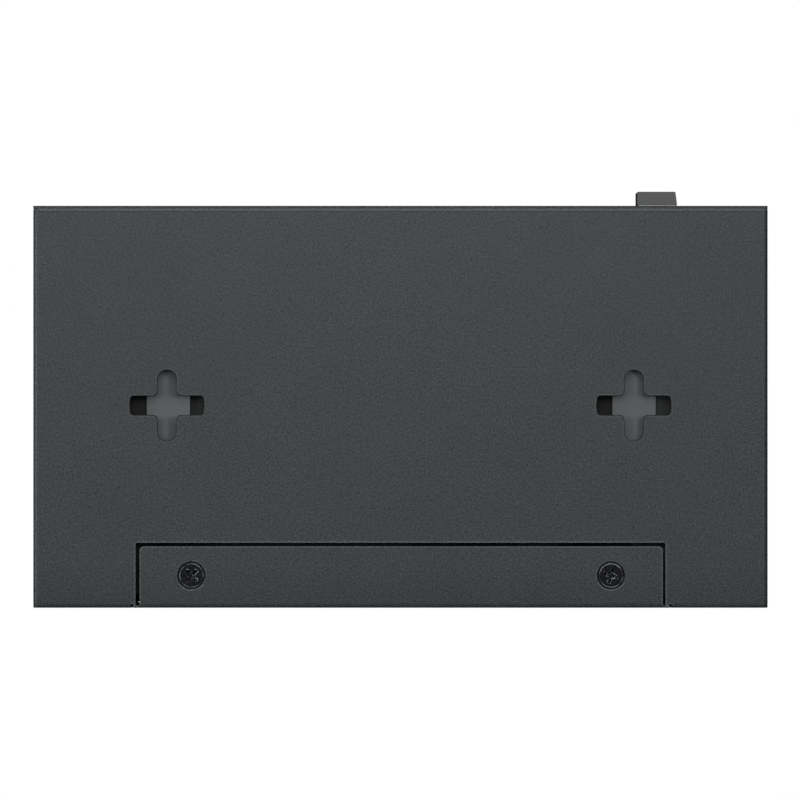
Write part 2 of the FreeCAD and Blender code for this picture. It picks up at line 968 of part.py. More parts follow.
def make_port_transformers():
    """One isolating transformer behind each socket, with leads along both long sides."""
    y = housing_rear + transformer_gap + transformer_depth / 2
    reach = transformer_depth / 2 + lead_reach
    lead_top = board_top + lead_height
    centres = socket_centres(poe_ports, poe_block_x) + socket_centres(uplink_ports, uplink_block_x)
    blocks = []
    for x in centres:
        block = on_board(x, y, transformer_width, transformer_depth, transformer_height)
        first = x - (lead_pitch * (lead_count - 1) + lead_width) / 2
        leads = []
        for index in range(lead_count):
            low = first + lead_pitch * index
            leads.append(box(low, low + lead_width, y - reach, y + reach, board_top, lead_top))
        blocks.append(one_solid(block.fuse(leads)))
    return group(blocks)


def make_switch_chip():
    y = board_centre + chip_y
    return on_board(chip_x, y, chip_size, chip_size, chip_height, chip_corner)


def make_thermal_pad():
    size = chip_size - 2 * pad_margin
    pad = on_board(chip_x, board_centre + chip_y, size, size, pad_thickness)
    pad.translate(FreeCAD.Vector(0, 0, chip_height))
    return pad


def make_heatsink():
    """An extruded sink with upright fins, glued on the pad."""
    half = chip_size / 2 + heatsink_overhang
    base = board_top + chip_height + pad_thickness
    root = base + heatsink_base
    top = base + heatsink_height
    pitch = (2 * half - heatsink_fin) / (heatsink_fins - 1)
    corners = [(chip_x + half, base), (chip_x - half, base)]
    for index in range(heatsink_fins):
        left = chip_x - half + pitch * index
        right = left + heatsink_fin
        if index > 0:
            corners.append((left, root))
        corners += [(left, top), (right, top)]
        if index < heatsink_fins - 1:
            corners.append((right, root))
    middle = board_centre + chip_y
    return prism("xz", corners, middle - half, middle + half)


def make_poe_controller():
    y = board_centre + poe_chip_y
    return on_board(poe_chip_x, y, poe_chip_size, poe_chip_size, poe_chip_height)


def make_flash_chip():
    return on_board(flash_x, board_centre + flash_y, flash_width, flash_depth, flash_height)


def make_crystal():
    """A canned crystal, round at both ends."""
    y = board_centre + crystal_y
    radius = crystal_width / 2
    return on_board(crystal_x, y, crystal_length, crystal_width, crystal_height, radius)


def make_power_transistors():
    """The transistors that switch power to the ports, in a column."""
    pitch = transistor_depth + transistor_gap
    blocks = []
    for index in range(transistor_count):
        y = board_centre + transistor_y + pitch * index
        block = on_board(transistor_x, y, transistor_width, transistor_depth, transistor_height)
        blocks.append(block)
    return group(blocks)


def make_input_choke():
    return on_board(inlet_x + choke_step, supply_y, choke_size, choke_size, choke_height, coil_corner)


def make_storage_inductor():
    """A square-based coil with a round core sunk in its top."""
    x = inlet_x + inductor_step
    top = board_top + inductor_height
    block = on_board(x, supply_y, inductor_size, inductor_size, inductor_height, coil_corner)
    well = post(inductor_core_radius, x, supply_y, top - inductor_core_sink, top + past)
    return one_solid(block.cut(well))


def make_filter_capacitors():
    """Upright can capacitors with a rolled groove above the foot."""
    waist = capacitor_radius - capacitor_groove_depth
    foot = board_top + capacitor_neck
    shoulder = foot + capacitor_groove
    top = board_top + capacitor_height
    corners = [
        (0, board_top),
        (capacitor_radius, board_top),
        (capacitor_radius, foot),
        (waist, foot),
        (waist, shoulder),
        (capacitor_radius, shoulder),
        (capacitor_radius, top),
        (0, top),
    ]
    cans = []
    for index in range(capacitor_count):
        x = inlet_x + first_capacitor_step + capacitor_step * index
        cans.append(turned(corners, x, supply_y))
    return group(cans)


def make_fuse():
    """The input fuse, in front of the inlet."""
    return on_board(inlet_x, inlet_back - fuse_gap, fuse_width, fuse_depth, fuse_height)


def main():
    pieces = {
        "base_tray": make_base_tray(),
        "top_cover": make_top_cover(),
        "keyhole_bridge_left": make_keyhole_bridge(-keyhole_x),
        "keyhole_bridge_right": make_keyhole_bridge(keyhole_x),
        "cover_screws": make_cover_screws(),
        "cover_standoffs": make_cover_standoffs(),
        "board_standoffs": make_board_standoffs(),
        "board_screws": make_board_screws(),
        "main_board": make_main_board(),
        "poe_port_housing": make_jack_housing(poe_ports, poe_block_x),
        "poe_port_shield": make_jack_shield(poe_ports, poe_block_x),
        "poe_port_contacts": make_jack_contacts(poe_ports, poe_block_x),
        "uplink_port_housing": make_jack_housing(uplink_ports, uplink_block_x),
        "uplink_port_shield": make_jack_shield(uplink_ports, uplink_block_x),
        "uplink_port_contacts": make_jack_contacts(uplink_ports, uplink_block_x),
        "led_holder": make_led_holder(),
        "status_leds": make_status_leds(),
        "power_inlet_housing": make_inlet_housing(),
        "power_inlet_pin": make_inlet_pin(),
        "power_inlet_spring": make_inlet_spring(),
        "port_transformers": make_port_transformers(),
        "switch_chip": make_switch_chip(),
        "thermal_pad": make_thermal_pad(),
        "heatsink": make_heatsink(),
        "poe_controller_chip": make_poe_controller(),
        "flash_chip": make_flash_chip(),
        "crystal": make_crystal(),
        "power_transistors": make_power_transistors(),
        "input_choke": make_input_choke(),
        "storage_inductor": make_storage_inductor(),
        "filter_capacitors": make_filter_capacitors(),
        "fuse": make_fuse(),
    }
    os.makedirs("parts", exist_ok=True)
    for name, shape in pieces.items():
        shape.exportStep("parts/" + name + ".step")


main()
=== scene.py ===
import bpy
import math
from mathutils import Matrix, Vector


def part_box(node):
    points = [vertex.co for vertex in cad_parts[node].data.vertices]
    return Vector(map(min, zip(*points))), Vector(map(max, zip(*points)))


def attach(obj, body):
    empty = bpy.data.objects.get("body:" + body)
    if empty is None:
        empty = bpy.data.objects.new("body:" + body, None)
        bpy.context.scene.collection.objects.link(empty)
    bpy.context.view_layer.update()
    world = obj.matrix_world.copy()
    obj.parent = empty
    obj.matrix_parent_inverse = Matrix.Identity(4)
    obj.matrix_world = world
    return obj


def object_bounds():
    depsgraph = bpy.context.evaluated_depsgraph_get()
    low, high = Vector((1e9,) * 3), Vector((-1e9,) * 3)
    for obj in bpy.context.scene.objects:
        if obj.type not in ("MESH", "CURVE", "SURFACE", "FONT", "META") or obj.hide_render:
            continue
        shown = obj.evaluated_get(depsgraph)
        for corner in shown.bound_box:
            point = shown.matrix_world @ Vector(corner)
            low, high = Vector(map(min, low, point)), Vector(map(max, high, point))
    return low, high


# Looks of a desktop network switch in a folded steel case, seen from its underside. Metres.
# The case stands on its flat underside, and the camera looks up at it from below.

MM = 0.001

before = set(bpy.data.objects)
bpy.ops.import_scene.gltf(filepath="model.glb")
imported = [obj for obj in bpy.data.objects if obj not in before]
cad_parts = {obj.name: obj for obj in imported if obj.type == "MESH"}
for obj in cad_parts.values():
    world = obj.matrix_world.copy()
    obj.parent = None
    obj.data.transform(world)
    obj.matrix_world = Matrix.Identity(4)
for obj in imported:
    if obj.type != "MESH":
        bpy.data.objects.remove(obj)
cad_low, cad_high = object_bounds()
scene = bpy.context.scene

# Camera, with the photo's scale and the pixel that the case's middle falls on

photo_pixels = 800
metres_per_pixel = 0.25856 * MM
case_centre_pixel = (400.45, 406.80)
camera_distance = 1.5
sensor_width = 36.0

# How far the inlet's nose stands out of the rear wall, and half the case's own sizes

inlet_proud = 3.85 * MM
half_width = cad_high.x
half_depth = -cad_low.y

# The keyholes lie within this distance of the case's middle, to the front and the rear

keyhole_reach = 13.0 * MM

# Reach of the pressed cups round the cover screws, and the height of their rounded lip

cup_reach = 3.9 * MM
cup_lip = 0.1 * MM

# Faces are flat underneath where the upright part of their direction is less than this

flat_limit = -0.97

# Levels of the world: on the case, behind it, and in reflections from below the floor

ambient_level = 0.18
background_level = 1.0
level_under_floor = 0.04


# Node building


def grey(level):
    """A colour with one level in all its channels."""
    return (level, level, level, 1.0)


class Nodes:
    """A node tree, with helpers that add nodes to it and join them."""

    def __init__(self, tree):
        self.tree = tree

    def join(self, socket, value):
        """Links an output to a socket, or sets the socket's own value."""
        if isinstance(value, bpy.types.NodeSocket):
            self.tree.links.new(value, socket)
        else:
            socket.default_value = value

    def node(self, kind, inputs=None, **settings):
        """A node with its settings and inputs, each input a value or another node's output."""
        made = self.tree.nodes.new(kind)
        for key, value in settings.items():
            setattr(made, key, value)
        for key, value in (inputs or {}).items():
            self.join(made.inputs[key], value)
        return made

    def maths(self, operation, first, *others):
        """Values taken together by one operation, one after the other."""
        for other in others or (0.0,):
            made = self.node("ShaderNodeMath", {0: first, 1: other}, operation=operation)
            first = made.outputs["Value"]
        return first


class Finish(Nodes):
    """A material with a Principled shader, and helpers that add its pattern nodes."""

    def __init__(self, name, colour, roughness, metallic=0.0, specular=0.5):
        self.material = bpy.data.materials.new(name)
        self.material.use_nodes = True
        super().__init__(self.material.node_tree)
        self.shader = self.tree.nodes["Principled BSDF"]
        self.colour = colour
        self.set("Base Color", (*colour, 1.0))
        self.set("Roughness", roughness)
        self.set("Metallic", metallic)
        self.set("Specular IOR Level", specular)
        self.place = self.node("ShaderNodeTexCoord").outputs["Object"]

    def set(self, name, value):
        """Sets one of the shader's inputs, or links it."""
        self.join(self.shader.inputs[name], value)

    def along(self, axis):
        """The object's coordinate on an axis."""
        return self.node("ShaderNodeSeparateXYZ", {"Vector": self.place}).outputs[axis]

    def stretched(self, scale, turn=(0.0, 0.0, 0.0)):
        """The object's coordinates, scaled by axis and turned."""
        inputs = {"Vector": self.place, "Scale": scale, "Rotation": turn}
        return self.node("ShaderNodeMapping", inputs).outputs["Vector"]

    def noise(self, grain, detail=2.0, roughness=0.5, place=None):
        """Noise whose features are about one grain across, in metres."""
        inputs = {
            "Vector": place or self.place,
            "Scale": 1.0 / grain,
            "Detail": detail,
            "Roughness": roughness,
        }
        return self.node("ShaderNodeTexNoise", inputs).outputs["Fac"]

    def spread(self, value, low, high, to_low=0.0, to_high=1.0):
        """The value's range from low to high, mapped to another range and clamped."""
        inputs = {
            "Value": value,
            "From Min": low,
            "From Max": high,
            "To Min": to_low,
            "To Max": to_high,
        }
        return self.node("ShaderNodeMapRange", inputs).outputs["Result"]

    def vary(self, noise, low, high):
        """The middle of the noise's range, where most of it lies, mapped from low to high."""
        return self.spread(noise, 0.3, 0.7, low, high)

    def factor(self, share, level):
        """1 where a share is 0, and a level where it is 1."""
        return self.spread(share, 0.0, 1.0, 1.0, level)

    def between(self, factor, first, second):
        """A colour between two colours."""
        made = self.node("ShaderNodeMix", data_type="RGBA")
        self.join(made.inputs["Factor"], factor)
        self.join(made.inputs["A"], first)
        self.join(made.inputs["B"], second)
        return made.outputs["Result"]

    def shade(self, factor):
        """The finish's colour made darker or lighter by a factor that varies over the surface."""
        scaled = self.node("ShaderNodeVectorMath", {0: self.colour}, operation="SCALE")
        self.join(scaled.inputs["Scale"], factor)
        return scaled.outputs["Vector"]

    def bumps(self, height, depth, strength=1.0, edge=0.0):
        """Relief from a height between 0 and 1, over edges that are softened by a radius."""
        inputs = {"Height": height, "Distance": depth, "Strength": strength}
        made = self.node("ShaderNodeBump", inputs)
        if edge:
            soft = self.node("ShaderNodeBevel", {"Radius": edge}, samples=4)
            self.join(made.inputs["Normal"], soft.outputs["Normal"])
        self.set("Normal", made.outputs["Normal"])

    def faces(self):
        """The three parts of the direction that the surface itself faces."""
        normal = self.node("ShaderNodeNewGeometry").outputs["True Normal"]
        return self.node("ShaderNodeSeparateXYZ", {"Vector": normal}).outputs

    def underside(self):
        """1 where the surface faces down, and 0 elsewhere."""
        return self.maths("LESS_THAN", self.faces()["Z"], -0.1)

    def part_of_value(self, value, low, high):
        """1 where a value lies between two levels, and 0 elsewhere."""
        above = self.maths("GREATER_THAN", value, low)
        below = self.maths("LESS_THAN", value, high)
        return self.maths("MULTIPLY", above, below)

    def part_of(self, axis, low, high):
        """1 where the object's coordinate on an axis lies between two levels, and 0 elsewhere."""
        return self.part_of_value(self.along(axis), low, high)

    def softening(self, radius, operation):
        """The normal softened over edges by a radius, compared with the face's own."""
        soft = self.node("ShaderNodeBevel", {"Radius": radius}, samples=6).outputs["Normal"]
        flat = self.node("ShaderNodeNewGeometry").outputs["True Normal"]
        inputs = {0: soft, 1: flat}
        return self.node("ShaderNodeVectorMath", inputs, operation=operation).outputs

    def lean(self, radius):
        """How far the normal, softened over edges by a radius, leans to the middle in X."""
        change = self.softening(radius, "SUBTRACT")["Vector"]
        across = self.node("ShaderNodeSeparateXYZ", {"Vector": change}).outputs["X"]
        side = self.maths("SIGN", self.along("X"))
        return self.maths("MULTIPLY", across, self.maths("MULTIPLY", side, -1.0))

    def edge_share(self, radius):
        """How much a radius of softening changes the normal, which is most at sharp edges."""
        return self.softening(radius, "DISTANCE")["Value"]

    def sheet_share(self, behind, reach):
        """1 inside the sheet, falling towards edges that end it on the side behind a direction."""
        inputs = {"Distance": reach, "Normal": behind}
        settings = {"samples": 8, "inside": True, "only_local": True}
        return self.node("ShaderNodeAmbientOcclusion", inputs, **settings).outputs["AO"]

    def from_screws(self):
        """The distance from the nearer cover screw's axis, and how far in front of that axis."""
        low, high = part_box("cover_screws")
        reach = (high.y - low.y) / 2
        middle = (low.x + high.x) / 2
        aside = self.maths("ABSOLUTE", self.maths("SUBTRACT", self.along("X"), middle))
        aside = self.maths("SUBTRACT", aside, high.x - reach - middle)
        ahead = self.maths("SUBTRACT", low.y + reach, self.along("Y"))
        squares = [self.maths("POWER", part, 2.0) for part in (aside, ahead)]
        return self.maths("SQRT", self.maths("ADD", *squares)), ahead


# Finishes


def powder_coat(name, cups=False):
    """Charcoal powder coat: a fine pebbled film, with painted highlights and painted shade along
    the sheet's edges and bends, round the keyholes on the tray, and in and round the cups on the
    cover.
    """
    gloss = 0.35
    f = Finish(name, (0.0440, 0.0478, 0.0508), 0.36, specular=gloss)
    grain = f.noise(0.50 * MM, detail=3.0, roughness=0.65)
    height = f.faces()["Z"]
    flat = f.maths("LESS_THAN", height, flat_limit)
    bend = f.part_of_value(height, flat_limit, -0.02)
    behind = f.sheet_share((0.0, -1.0, 0.0), 0.66 * MM)
    # Painted highlight: a light line on the flat coat along edges that end the sheet towards the
    # rear.
    lip_start, lip_end, lip_level = (0.85, 0.62, 0.95) if cups else (0.90, 0.70, 1.1)
    lip = f.maths("MULTIPLY", f.spread(behind, lip_start, lip_end), flat, lip_level)
    # Painted light and shade round the cover screws' cups, or painted shade round the keyholes.
    local_tone = cup_light_and_shade(f) if cups else keyhole_shade(f, behind, flat)
    tone = f.maths("MULTIPLY", speckled_tone(f, grain), edge_light_and_shade(f, bend, lip), local_tone)
    f.set("Base Color", f.shade(tone))
    f.set("Specular IOR Level", f.spread(bend, 0.0, 1.0, gloss, 0.0))
    f.set("Roughness", f.vary(grain, 0.30, 0.42))
    f.bumps(f.noise(0.60 * MM), 0.030 * MM, 0.6, edge=0.22 * MM)
    return f.material


def speckled_tone(f, grain):
    """A factor for the coat's pebbles, with a few lighter and darker specks among them."""
    turned_place = f.stretched((1.0, 1.0, 1.0), (0.7, 0.4, 1.1))
    pale = f.spread(f.noise(0.42 * MM, detail=1.0), 0.62, 0.76, 0.0, 0.8)
    deep = f.spread(f.noise(0.46 * MM, detail=1.0, place=turned_place), 0.60, 0.76, 0.0, 0.45)
    clouds = f.vary(f.noise(22 * MM), 0.97, 1.03)
    pebbles = f.maths("MULTIPLY", f.vary(grain, 0.62, 1.38), clouds)
    return f.maths("SUBTRACT", f.maths("ADD", pebbles, pale), deep)


def edge_light_and_shade(f, bend, lip):
    """A factor for the coat at folds and edges: painted highlights where light would catch the
    bends and rims, and painted shade where it would miss them.
    """
    facing = f.faces()
    below = f.underside()
    # Painted shade on bends that face -X, and a painted highlight on bends that face the rear.
    away = f.maths("MULTIPLY", bend, f.maths("LESS_THAN", facing["X"], -0.1))
    toward = f.maths("MULTIPLY", bend, f.maths("GREATER_THAN", facing["Y"], 0.1))
    # Painted highlight lines along the rear bend and the +X side edge, a painted dark line just
    # inside the rear one, a painted dark band along the front bend, and painted shade growing
    # towards the front.
    rear_line = f.part_of("Y", half_depth - 1.35 * MM, half_depth - 0.80 * MM)
    rear_shade_line = f.part_of("Y", half_depth - 1.60 * MM, half_depth - 1.35 * MM)
    side_line = f.part_of("X", half_width - 1.05 * MM, half_width - 0.45 * MM)
    front_line = f.part_of("Y", -half_depth, -half_depth + 1.25 * MM)
    front_fall = f.spread(f.along("Y"), -half_depth + 11.0 * MM, -half_depth + 2.0 * MM)
    # Painted shade on hole edges whose softened normal leans to the middle in X.
    leaning = f.spread(f.lean(0.75 * MM), 0.20, 0.45, 0.0, 0.75)
    light = f.maths(
        "MAXIMUM",
        lip,
        f.maths("MULTIPLY", f.maths("MAXIMUM", rear_line, side_line), below, 0.55),
        f.maths("MULTIPLY", toward, 0.30),
    )
    dark = f.maths(
        "MAXIMUM",
        f.maths("MULTIPLY", away, 0.40),
        f.maths("MULTIPLY", front_line, below, 0.25),
        f.maths("MULTIPLY", rear_shade_line, below, 0.32),
        f.maths("MULTIPLY", front_fall, below, 0.14),
    )
    tone = f.maths("SUBTRACT", light, f.maths("ADD", dark, leaning))
    return f.maths("MAXIMUM", f.maths("ADD", tone, 1.0), 0.15)


def keyhole_shade(f, behind, flat):
    """Painted shade: a factor that darkens a thin rim in front of and beside the cross-shaped
    keyholes.
    """
    beside = f.sheet_share((1.0, 0.0, 0.0), 0.45 * MM)
    rim = f.maths("MAXIMUM", f.spread(behind, 0.74, 0.65), f.spread(beside, 0.80, 0.68))
    near = f.part_of("Y", -keyhole_reach, keyhole_reach)
    return f.factor(f.maths("MULTIPLY", rim, flat, near), 0.08)


def cup_light_and_shade(f):
    """A factor for the coat round the cover screws: painted shade in the cups, and a painted
    highlight on the lip's front.
    """
    away, ahead = f.from_screws()
    within = f.maths("LESS_THAN", away, cup_reach)
    inside = f.maths("MULTIPLY", within, f.part_of("Z", cup_lip, cad_high.z))
    lip = f.part_of_value(away, cup_reach - 0.2 * MM, cup_reach + 0.1 * MM)
    front = f.spread(ahead, 1.2 * MM, 3.0 * MM, 0.0, 0.5)
    return f.maths("ADD", f.factor(inside, 0.12), f.maths("MULTIPLY", lip, f.underside(), front))


def galvanised():
    """Dull zinc with faint crystals."""
    f = Finish("galvanised_steel", (0.122, 0.128, 0.134), 0.60, metallic=0.3)
    crystal = 3.2 * MM
    flakes = f.node("ShaderNodeTexVoronoi", {"Vector": f.place, "Scale": 1.0 / crystal})
    tone = f.node("ShaderNodeRGBToBW", {"Color": flakes.outputs["Color"]}).outputs["Val"]
    dust = f.noise(0.25 * MM, detail=3.0)
    crystals = f.spread(tone, 0.0, 1.0, 0.94, 1.06)
    f.set("Base Color", f.shade(f.maths("MULTIPLY", crystals, f.vary(dust, 0.93, 1.07))))
    f.set("Roughness", f.spread(tone, 0.0, 1.0, 0.54, 0.66))
    f.bumps(dust, 0.01 * MM, 0.4, edge=0.1 * MM)
    return f.material


def black_oxide():
    """Blackened screw steel with a slight oily gloss, with a painted highlight round the head's
    rim and painted glints on the recess's edges.
    """
    f = Finish("black_oxide", (0.0058, 0.0062, 0.0072), 0.30, specular=0.4)
    dust = f.noise(0.45 * MM, detail=3.0)
    away, _ = f.from_screws()
    on_face = f.maths("LESS_THAN", f.faces()["Z"], -0.9)
    # Painted highlight: a light ring round the head's rim, in patches.
    rim = f.part_of_value(away, 2.94 * MM, 3.12 * MM)
    rim_highlight_level = f.spread(f.noise(2.6 * MM, detail=1.0), 0.40, 0.62, 3.0, 36.0)
    # Painted glints on the edges of the recess.
    recess = f.maths("LESS_THAN", away, 2.6 * MM)
    recess_glint_level = f.spread(f.noise(0.9 * MM, detail=1.0), 0.50, 0.70, 2.0, 85.0)
    edges = f.spread(f.edge_share(0.22 * MM), 0.12, 0.30)
    painted_rim_highlight = f.maths("MULTIPLY", rim, on_face, rim_highlight_level)
    painted_recess_glints = f.maths("MULTIPLY", edges, recess_glint_level, recess)
    coat = f.vary(dust, 0.4, 1.7)
    f.set("Base Color", f.shade(f.maths("ADD", coat, painted_rim_highlight, painted_recess_glints)))
    f.set("Roughness", f.vary(dust, 0.24, 0.40))
    f.bumps(dust, 0.02 * MM, 0.6, edge=0.12 * MM)
    return f.material


def moulded(name, colour, roughness, grain=0.2, depth=0.008):
    """Moulded plastic with a fine spark-eroded texture, its grain and depth in millimetres."""
    f = Finish(name, colour, roughness)
    pebbles = f.noise(grain * MM, detail=3.0)
    clouds = f.vary(f.noise(6 * MM), 0.96, 1.04)
    f.set("Base Color", f.shade(f.maths("MULTIPLY", f.vary(pebbles, 0.9, 1.1), clouds)))
    f.set("Roughness", f.vary(pebbles, roughness - 0.06, roughness + 0.06))
    f.bumps(pebbles, depth * MM, 0.4, edge=0.1 * MM)
    return f.material


def metal(name, colour, roughness, along=(1.0, 1.0, 1.0), metallic=1.0):
    """Bare metal with fine marks that run along its shortest scale."""
    f = Finish(name, colour, roughness, metallic=metallic)
    marks = f.noise(0.18 * MM, detail=3.0, place=f.stretched(along))
    f.set("Base Color", f.shade(f.vary(marks, 0.9, 1.08)))
    f.set("Roughness", f.vary(marks, roughness - 0.08, roughness + 0.08))
    f.bumps(marks, 0.006 * MM, 0.35, edge=0.05 * MM)
    return f.material


def solder_mask():
    """Black board: copper runs that show faintly through the mask, bare cut edges, and bands of
    painted light and shade across X on its underside.
    """
    f = Finish("solder_mask", (0.0095, 0.0102, 0.0108), 0.42, specular=0.35)
    inputs = {
        "Vector": f.place,
        "Scale": 60.0,
        "Mortar Size": 0.06,
        "Brick Width": 1.9,
        "Row Height": 0.07,
        "Color1": grey(1.35),
        "Color2": grey(1.15),
        "Mortar": grey(0.75),
    }
    runs = f.node("ShaderNodeTexBrick", inputs, offset=0.35).outputs["Color"]
    pour = f.spread(f.noise(14 * MM, detail=0.0), 0.50, 0.52)
    tone = f.between(pour, runs, grey(1.25))
    tone = f.node("ShaderNodeRGBToBW", {"Color": tone}).outputs["Val"]
    across = f.along("X")
    change = 0.3
    # Painted light and shade: the underside is lighter or darker in bands across X, under the
    # keyholes' arm ends.
    painted_light_bands = ((-60.5, 2.6, 0.5), (-41.0, 0.0, 0.9), (60.2, 0.0, -0.5))
    steps = [f.spread(across, x * MM, (x + change) * MM, low, high) for x, low, high in painted_light_bands]
    underside_painted_light = f.maths("POWER", f.maths("ADD", *steps), f.underside())
    surface = f.shade(f.maths("MULTIPLY", tone, underside_painted_light))
    low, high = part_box("main_board")
    skin = 0.12 * MM
    core = f.part_of("Z", low.z + skin, high.z - skin)
    f.set("Base Color", f.between(core, surface, (0.16, 0.14, 0.09, 1.0)))
    f.bumps(f.noise(0.4 * MM), 0.006 * MM, 0.3)
    return f.material


def inlet_plastic():
    """Grey moulded plastic, lighter in the shallow groove at the foot of the nose, with painted
    shade on the nose's flanks.
    """
    gloss = 0.15
    f = Finish("inlet_plastic", (0.094, 0.095, 0.097), 0.5, specular=gloss)
    groove = 0.42 * MM
    foot = f.part_of("Y", cad_high.y - inlet_proud, cad_high.y - inlet_proud + groove)
    pebbles = f.noise(0.35 * MM, detail=3.0)
    # Painted shade: the nose's flanks that face across X are darkened and lose their reflection.
    flank = f.maths("GREATER_THAN", f.maths("ABSOLUTE", f.faces()["X"]), 0.5)
    tone = f.maths("MULTIPLY", f.vary(pebbles, 0.9, 1.1), f.factor(flank, 0.3))
    f.set("Specular IOR Level", f.spread(flank, 0.0, 1.0, gloss, 0.0))
    f.set("Base Color", f.between(foot, f.shade(tone), grey(0.45)))
    f.set("Roughness", f.vary(pebbles, 0.44, 0.56))
    f.bumps(pebbles, 0.008 * MM, 0.4, edge=0.15 * MM)
    return f.material


def milky_lens():
    """Clouded clear plastic of an unlit light."""
    f = Finish("milky_lens", (0.60, 0.66, 0.60), 0.22)
    haze = f.noise(1.1 * MM)
    f.set("Base Color", f.shade(f.vary(haze, 0.9, 1.08)))
    f.set("Subsurface Weight", 0.6)
    f.set("Subsurface Radius", (1.0, 1.0, 0.9))
    f.set("Subsurface Scale", 1.0 * MM)
    f.bumps(haze, 0.004 * MM, 0.3, edge=0.15 * MM)
    return f.material


def leaded(name, node, colour):
    """Moulded epoxy whose ends, low on the board, are tinned leads."""
    f = Finish(name, colour, 0.5)
    low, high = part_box(node)
    lead_reach = 1.2 * MM
    body = f.part_of("Y", low.y + lead_reach, high.y - lead_reach)
    leads = f.maths("SUBTRACT", 1.0, body)
    grain = f.noise(0.15 * MM, detail=3.0)
    epoxy = f.shade(f.vary(grain, 0.8, 1.2))
    f.set("Base Color", f.between(leads, epoxy, (0.55, 0.55, 0.54, 1.0)))
    f.set("Metallic", leads)
    f.set("Roughness", f.vary(grain, 0.42, 0.58))
    f.bumps(grain, 0.006 * MM, 0.4)
    return f.material


def capped_ceramic():
    """White ceramic with tinned caps at both ends."""
    f = Finish("capped_ceramic", (0.72, 0.70, 0.63), 0.45)
    low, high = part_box("fuse")
    cap = 1.2 * MM
    middle = f.part_of("X", low.x + cap, high.x - cap)
    caps = f.maths("SUBTRACT", 1.0, middle)
    grain = f.noise(0.3 * MM)
    f.set("Base Color", f.between(caps, f.shade(f.vary(grain, 0.94, 1.04)), grey(0.5)))
    f.set("Metallic", caps)
    f.bumps(grain, 0.005 * MM, 0.3)
    return f.material


def capacitor_can():
    """A dark sleeve round a can whose top stays bare."""
    f = Finish("capacitor_can", (0.02, 0.022, 0.03), 0.3)
    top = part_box("filter_capacitors")[1].z
    bare_depth = 0.25 * MM
    bare = f.part_of("Z", top - bare_depth, top + MM)
    marks = f.noise(0.2 * MM)
    sleeve = f.shade(f.vary(marks, 0.85, 1.15))
    f.set("Base Color", f.between(bare, sleeve, (0.55, 0.56, 0.58, 1.0)))
    f.set("Metallic", bare)
    f.bumps(marks, 0.005 * MM, 0.3, edge=0.2 * MM)
    return f.material


def finishes():
    """Each node's material."""
    zinc = galvanised()
    socket = moulded("socket_nylon", (0.012, 0.012, 0.013), 0.42)
    tin = metal("tinned_sheet", (0.60, 0.60, 0.59), 0.34, (1.0, 1.0, 0.06))
    gold = metal("gold_plate", (0.78, 0.56, 0.22), 0.24, (1.0, 0.1, 1.0))
    brass = metal("turned_brass", (0.62, 0.50, 0.24), 0.32, (0.15, 0.15, 1.0))
    nickel = metal("nickel_plate", (0.62, 0.60, 0.56), 0.22, (1.0, 0.1, 1.0))
    epoxy = moulded("moulded_epoxy", (0.022, 0.022, 0.023), 0.55, grain=0.12)
    ferrite = moulded("ferrite", (0.050, 0.050, 0.053), 0.62, grain=0.3, depth=0.02)
    return {
        "base_tray": powder_coat("tray_powder_coat"),
        "top_cover": powder_coat("cover_powder_coat", cups=True),
        "keyhole_bridge_left": zinc,
        "keyhole_bridge_right": zinc,
        "cover_screws": black_oxide(),
        "cover_standoffs": brass,
        "board_standoffs": brass,
        "board_screws": metal("zinc_plate", (0.58, 0.58, 0.57), 0.30),
        "main_board": solder_mask(),
        "poe_port_housing": socket,
        "poe_port_shield": tin,
        "poe_port_contacts": gold,
        "uplink_port_housing": socket,
        "uplink_port_shield": tin,
        "uplink_port_contacts": gold,
        "led_holder": moulded("holder_plastic", (0.015, 0.015, 0.016), 0.5),
        "status_leds": milky_lens(),
        "power_inlet_housing": inlet_plastic(),
        "power_inlet_pin": nickel,
        "power_inlet_spring": nickel,
        "port_transformers": leaded("transformer_epoxy", "port_transformers", (0.02, 0.02, 0.021)),
        "switch_chip": epoxy,
        "thermal_pad": moulded("thermal_rubber", (0.30, 0.31, 0.33), 0.7, grain=0.5),
        "heatsink": metal("black_anodising", (0.045, 0.045, 0.048), 0.42, (1.0, 0.05, 1.0), 0.7),
        "poe_controller_chip": epoxy,
        "flash_chip": epoxy,
        "crystal": metal("crystal_can", (0.66, 0.66, 0.64), 0.25),
        "power_transistors": epoxy,
        "input_choke": ferrite,
        "storage_inductor": ferrite,
        "filter_capacitors": capacitor_can(),
        "fuse": capped_ceramic(),
    }


def dress_nodes():
    """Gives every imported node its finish."""
    for name, material in finishes().items():
        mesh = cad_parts[name].data
        mesh.materials.clear()
        mesh.materials.append(material)


# Small parts that repeat, made with Geometry Nodes


